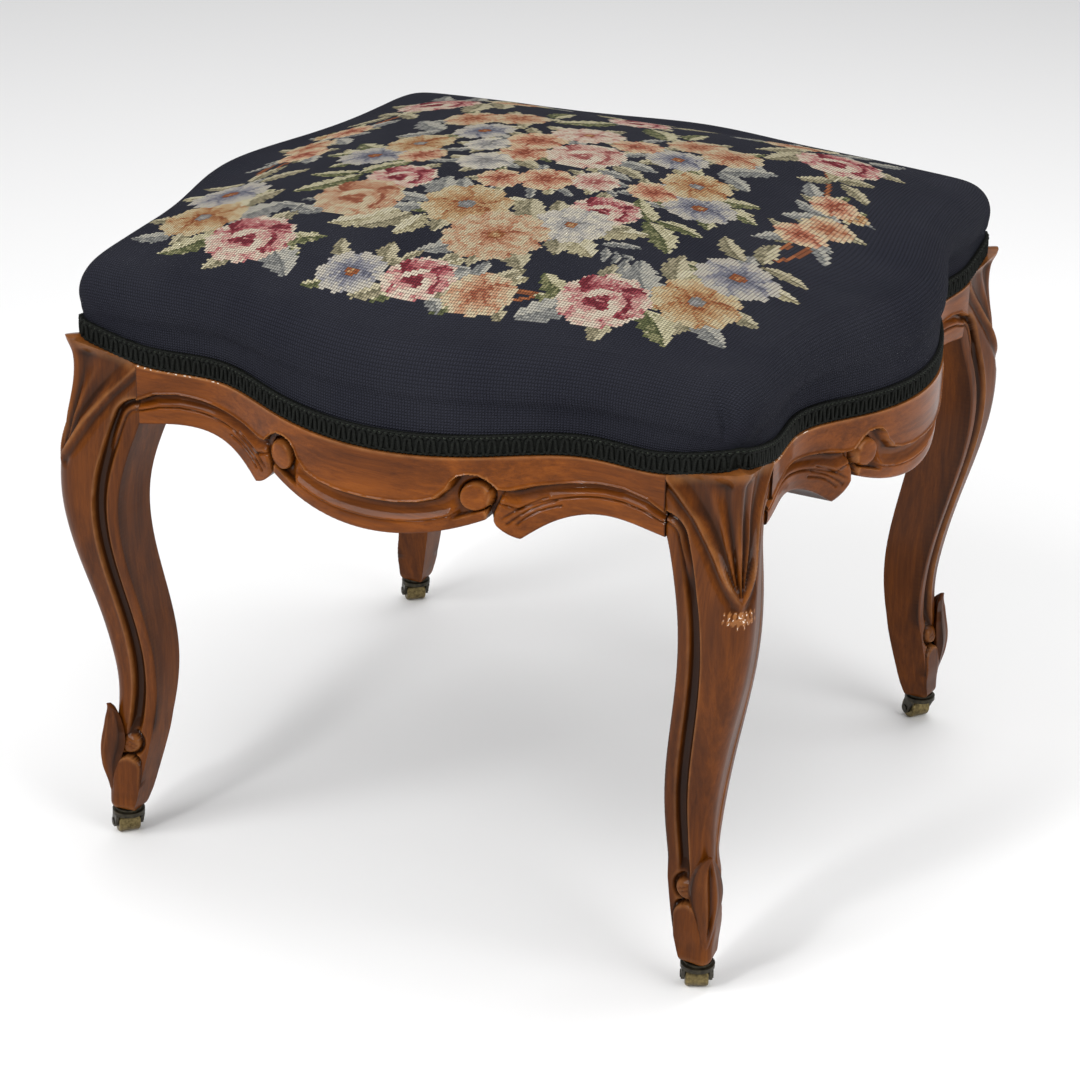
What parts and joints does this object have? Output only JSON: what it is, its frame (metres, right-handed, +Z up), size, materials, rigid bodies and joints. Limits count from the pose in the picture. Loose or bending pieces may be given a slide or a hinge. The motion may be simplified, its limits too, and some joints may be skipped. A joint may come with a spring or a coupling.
{
  "type": "needlepoint stool",
  "caption": "Square upholstered stool with a domed needlepoint seat, braid edging, carved serpentine aprons and cabriole legs that end in small swivelling casters.",
  "frame": {"origin": "on the floor below the middle of the seat", "axes": "+Z up, the front towards -Y, the four sides alike"},
  "size_m": [0.481, 0.481, 0.41],
  "materials": {
    "dark_wood": "worn polish",
    "plain_wood": "bare",
    "needlepoint": "wool stitch",
    "gimp": "woven braid",
    "jute": "coarse weave",
    "stuffing": "hair and wadding",
    "black_cotton": "plain weave",
    "bronzed_metal": "dark bronzed",
    "brass": "dull",
    "steel": "plain"
  },
  "bodies": {
    "frame": {"block_screws": "steel", "caster_socket_front_left": "bronzed_metal", "caster_socket_front_right": "bronzed_metal", "caster_socket_rear_left": "bronzed_metal", "caster_socket_rear_right": "bronzed_metal", "corner_block_front_left": "plain_wood", "corner_block_front_right": "plain_wood", "corner_block_rear_left": "plain_wood", "corner_block_rear_right": "plain_wood", "dust_cover": "black_cotton", "dust_cover_tacks": "steel", "gimp_braid": "gimp", "hessian_layer": "jute", "leg_front_left": "dark_wood", "leg_front_right": "dark_wood", "leg_rear_left": "dark_wood", "leg_rear_right": "dark_wood", "needlepoint_cover": "needlepoint", "rail_dowels": "plain_wood", "rail_front": "dark_wood", "rail_left": "dark_wood", "rail_rear": "dark_wood", "rail_right": "dark_wood", "stuffing_pad": "stuffing", "webbing_crosswise": "jute", "webbing_lengthwise": "jute", "webbing_tacks": "steel"},
    "horn_rear_right": {"caster_horn_rear_right": "bronzed_metal", "caster_axle_rear_right": "steel"},
    "wheel_rear_right": {"caster_wheel_rear_right": "brass"},
    "horn_rear_left": {"caster_horn_rear_left": "bronzed_metal", "caster_axle_rear_left": "steel"},
    "wheel_rear_left": {"caster_wheel_rear_left": "brass"},
    "horn_front_left": {"caster_horn_front_left": "bronzed_metal", "caster_axle_front_left": "steel"},
    "wheel_front_left": {"caster_wheel_front_left": "brass"},
    "horn_front_right": {"caster_horn_front_right": "bronzed_metal", "caster_axle_front_right": "steel"},
    "wheel_front_right": {"caster_wheel_front_right": "brass"}
  },
  "joints": [
    {"name": "swivel_rear_right", "type": "hinge", "parent": "frame", "child": "horn_rear_right", "pos_m": [0.1913, 0.1913, 0.017], "axis": [0, 0, 1], "continuous": true},
    {"name": "roll_rear_right", "type": "hinge", "parent": "horn_rear_right", "child": "wheel_rear_right", "pos_m": [0.18851, 0.19341, 0.007], "axis": [-0.6018, -0.7986, 0], "continuous": true},
    {"name": "swivel_rear_left", "type": "hinge", "parent": "frame", "child": "horn_rear_left", "pos_m": [-0.1913, 0.1913, 0.017], "axis": [0, 0, 1], "continuous": true},
    {"name": "roll_rear_left", "type": "hinge", "parent": "horn_rear_left", "child": "wheel_rear_left", "pos_m": [-0.19355, 0.19398, 0.007], "axis": [-0.766, -0.6428, 0], "continuous": true},
    {"name": "swivel_front_left", "type": "hinge", "parent": "frame", "child": "horn_front_left", "pos_m": [-0.1913, -0.1913, 0.017], "axis": [0, 0, 1], "continuous": true},
    {"name": "roll_front_left", "type": "hinge", "parent": "horn_front_left", "child": "wheel_front_left", "pos_m": [-0.19382, -0.18887, 0.007], "axis": [-0.6947, -0.7193, 0], "continuous": true},
    {"name": "swivel_front_right", "type": "hinge", "parent": "frame", "child": "horn_front_right", "pos_m": [0.1913, -0.1913, 0.017], "axis": [0, 0, 1], "continuous": true},
    {"name": "roll_front_right", "type": "hinge", "parent": "horn_front_right", "child": "wheel_front_right", "pos_m": [0.18982, -0.18813, 0.007], "axis": [-0.9063, -0.4226, 0], "continuous": true}
  ]
}
